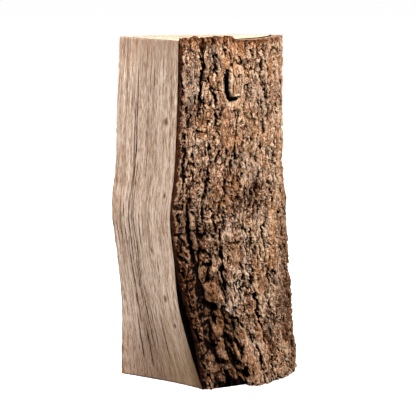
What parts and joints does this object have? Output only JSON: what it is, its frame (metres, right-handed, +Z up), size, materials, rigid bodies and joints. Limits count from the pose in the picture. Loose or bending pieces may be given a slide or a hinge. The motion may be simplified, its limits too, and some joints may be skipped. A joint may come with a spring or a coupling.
{
  "type": "split log",
  "caption": "Split firewood log standing on its sawn end: a bent wedge of pale wood with rough furrowed bark on its round side.",
  "frame": {"origin": "on the ground, under the middle of the log's box, as it stands on its lower sawn end", "axes": "+Z up along the log, -Y towards the front corner where the split face meets the bark, +X towards the bark side"},
  "size_m": [0.166, 0.0918, 0.3039],
  "materials": {
    "split_wood": "dry split grain, matte, with paler sawn ends",
    "bark": "rough furrowed bark, matte, grey-brown plates over dark furrows"
  },
  "bodies": {
    "root": {"split_wood": "split_wood", "bark": "bark"}
  },
  "joints": []
}
